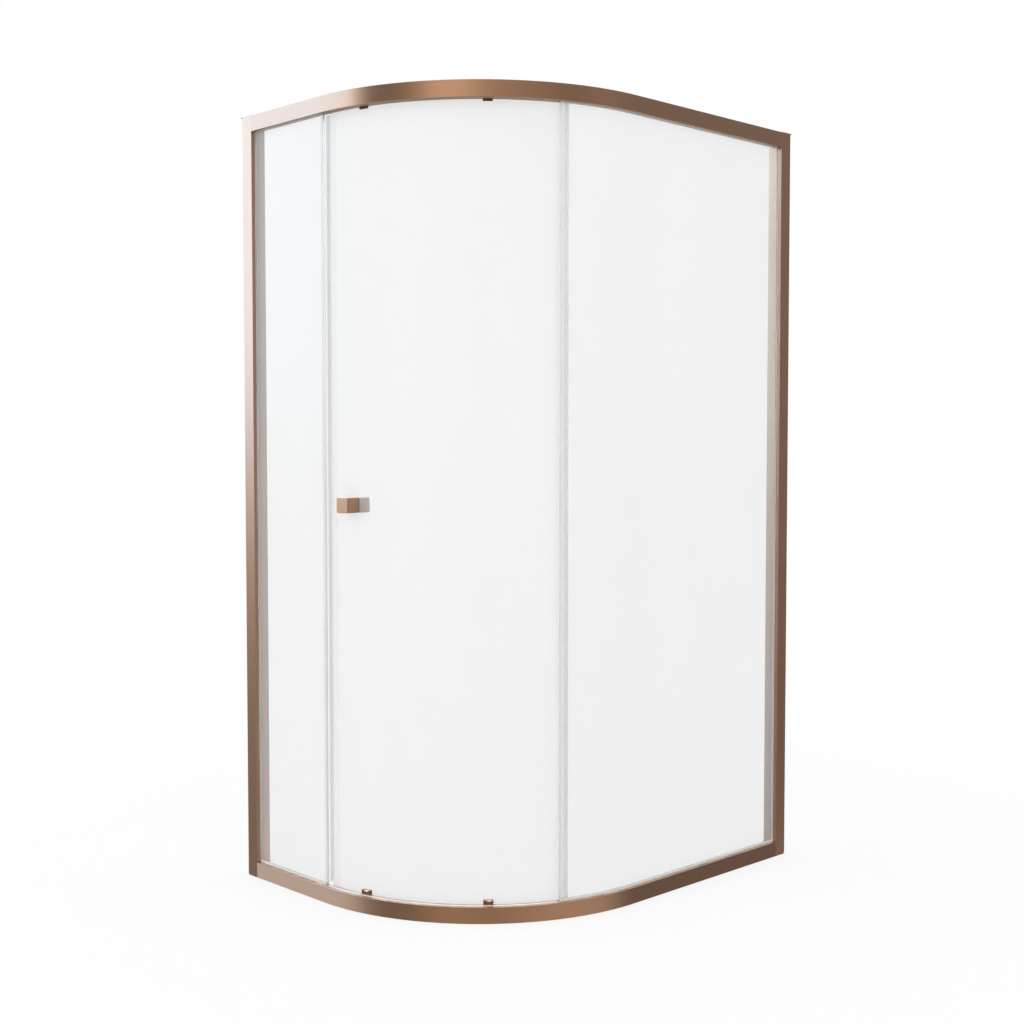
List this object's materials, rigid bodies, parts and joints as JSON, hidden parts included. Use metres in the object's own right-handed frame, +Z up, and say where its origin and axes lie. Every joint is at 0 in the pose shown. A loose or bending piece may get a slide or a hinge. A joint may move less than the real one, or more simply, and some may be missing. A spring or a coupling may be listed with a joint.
{
  "type": "quadrant shower enclosure",
  "caption": "Offset quadrant shower enclosure with fixed clear panels, one curved sliding door on rollers and a brushed rose-gold aluminium frame.",
  "frame": {"origin": "centre of the overall box at floor level", "axes": "+Z up, +X along the long front panel towards the side wall, +Y towards the back wall"},
  "size_m": [1.2048, 0.89, 2.0012],
  "materials": {
    "frame_metal": "brushed rose gold",
    "knob_metal": "satin rose gold",
    "fitting_metal": "satin rose gold",
    "glass": "clear polished",
    "gasket": "matte grey",
    "infill": "matte brown",
    "seal": "translucent grey",
    "magnet": "matte grey",
    "steel": "plain",
    "nylon": "matte white",
    "nylon_wheel": "smooth",
    "dark_nylon": "matte dark brown",
    "button": "glossy brown"
  },
  "bodies": {
    "frame": {"left_wall_channel": "frame_metal", "right_wall_channel": "frame_metal", "left_post": "frame_metal", "right_post": "frame_metal", "left_post_cap": "frame_metal", "right_post_cap": "frame_metal", "top_rail": "frame_metal", "bottom_rail": "frame_metal", "left_post_gasket": "gasket", "right_post_gasket": "gasket", "left_bottom_gasket": "gasket", "right_bottom_gasket": "gasket", "left_top_gasket": "gasket", "right_top_gasket": "gasket", "top_infill_strip": "infill", "bottom_infill_strip": "infill", "left_fixed_glass": "glass", "right_fixed_glass": "glass", "left_magnetic_seal": "seal", "right_edge_seal": "seal", "left_magnet": "magnet", "rail_screws": "steel", "post_screws": "steel", "stop_screws": "steel", "post_screw_covers": "frame_metal", "closed_stop": "dark_nylon", "open_stop": "dark_nylon"},
    "door": {"door_glass": "glass", "door_magnetic_seal": "seal", "door_trailing_seal": "seal", "door_magnet": "magnet", "outer_knob": "knob_metal", "inner_knob": "knob_metal", "knob_stud": "steel", "knob_washers": "dark_nylon", "top_carrier_left": "dark_nylon", "top_carrier_right": "dark_nylon", "top_axle_left": "steel", "top_axle_right": "steel", "top_cap_nuts": "fitting_metal", "bottom_clamp_screws": "fitting_metal", "bottom_carrier_left": "fitting_metal", "bottom_carrier_right": "fitting_metal", "glass_bushes": "nylon", "release_spring_left": "steel", "release_spring_right": "steel"},
    "left_top_wheel": {"top_wheel_left": "nylon_wheel"},
    "left_button": {"release_button_left": "button", "bottom_axle_left": "steel"},
    "left_bottom_wheel": {"bottom_wheel_left": "nylon_wheel"},
    "right_top_wheel": {"top_wheel_right": "nylon_wheel"},
    "right_button": {"release_button_right": "button", "bottom_axle_right": "steel"},
    "right_bottom_wheel": {"bottom_wheel_right": "nylon_wheel"}
  },
  "joints": [
    {"name": "door_slide", "type": "hinge", "parent": "frame", "child": "door", "pos_m": [-0.052, 0.103, 1], "axis": [0, 0, 1], "range_deg": [0, 41]},
    {"name": "left_top_wheel_spin", "type": "hinge", "parent": "door", "child": "left_top_wheel", "pos_m": [-0.56277, -0.02057, 1.9723], "axis": [0.972, 0.2351, 0], "continuous": true},
    {"name": "left_release_press", "type": "slide", "parent": "door", "child": "left_button", "axis": [0, 0, -1], "range_m": [0, 0.0035], "stiffness_N_per_m": 500, "springref_m": -0.006, "deforming": ["release_spring_left"]},
    {"name": "left_bottom_wheel_spin", "type": "hinge", "parent": "left_button", "child": "left_bottom_wheel", "pos_m": [-0.56277, -0.02057, 0.0277], "axis": [-0.972, -0.2351, 0], "continuous": true},
    {"name": "right_top_wheel_spin", "type": "hinge", "parent": "door", "child": "right_top_wheel", "pos_m": [-0.40226, -0.28875, 1.9723], "axis": [0.6665, 0.7455, 0], "continuous": true},
    {"name": "right_release_press", "type": "slide", "parent": "door", "child": "right_button", "axis": [0, 0, -1], "range_m": [0, 0.0035], "stiffness_N_per_m": 500, "springref_m": -0.006, "deforming": ["release_spring_right"]},
    {"name": "right_bottom_wheel_spin", "type": "hinge", "parent": "right_button", "child": "right_bottom_wheel", "pos_m": [-0.40226, -0.28875, 0.0277], "axis": [-0.6665, -0.7455, 0], "continuous": true}
  ],
  "couplings": [
    {"joint": "left_top_wheel_spin", "follows": "door_slide", "ratio": 65.688},
    {"joint": "left_bottom_wheel_spin", "follows": "door_slide", "ratio": 65.688},
    {"joint": "right_top_wheel_spin", "follows": "door_slide", "ratio": 65.688},
    {"joint": "right_bottom_wheel_spin", "follows": "door_slide", "ratio": 65.688}
  ]
}
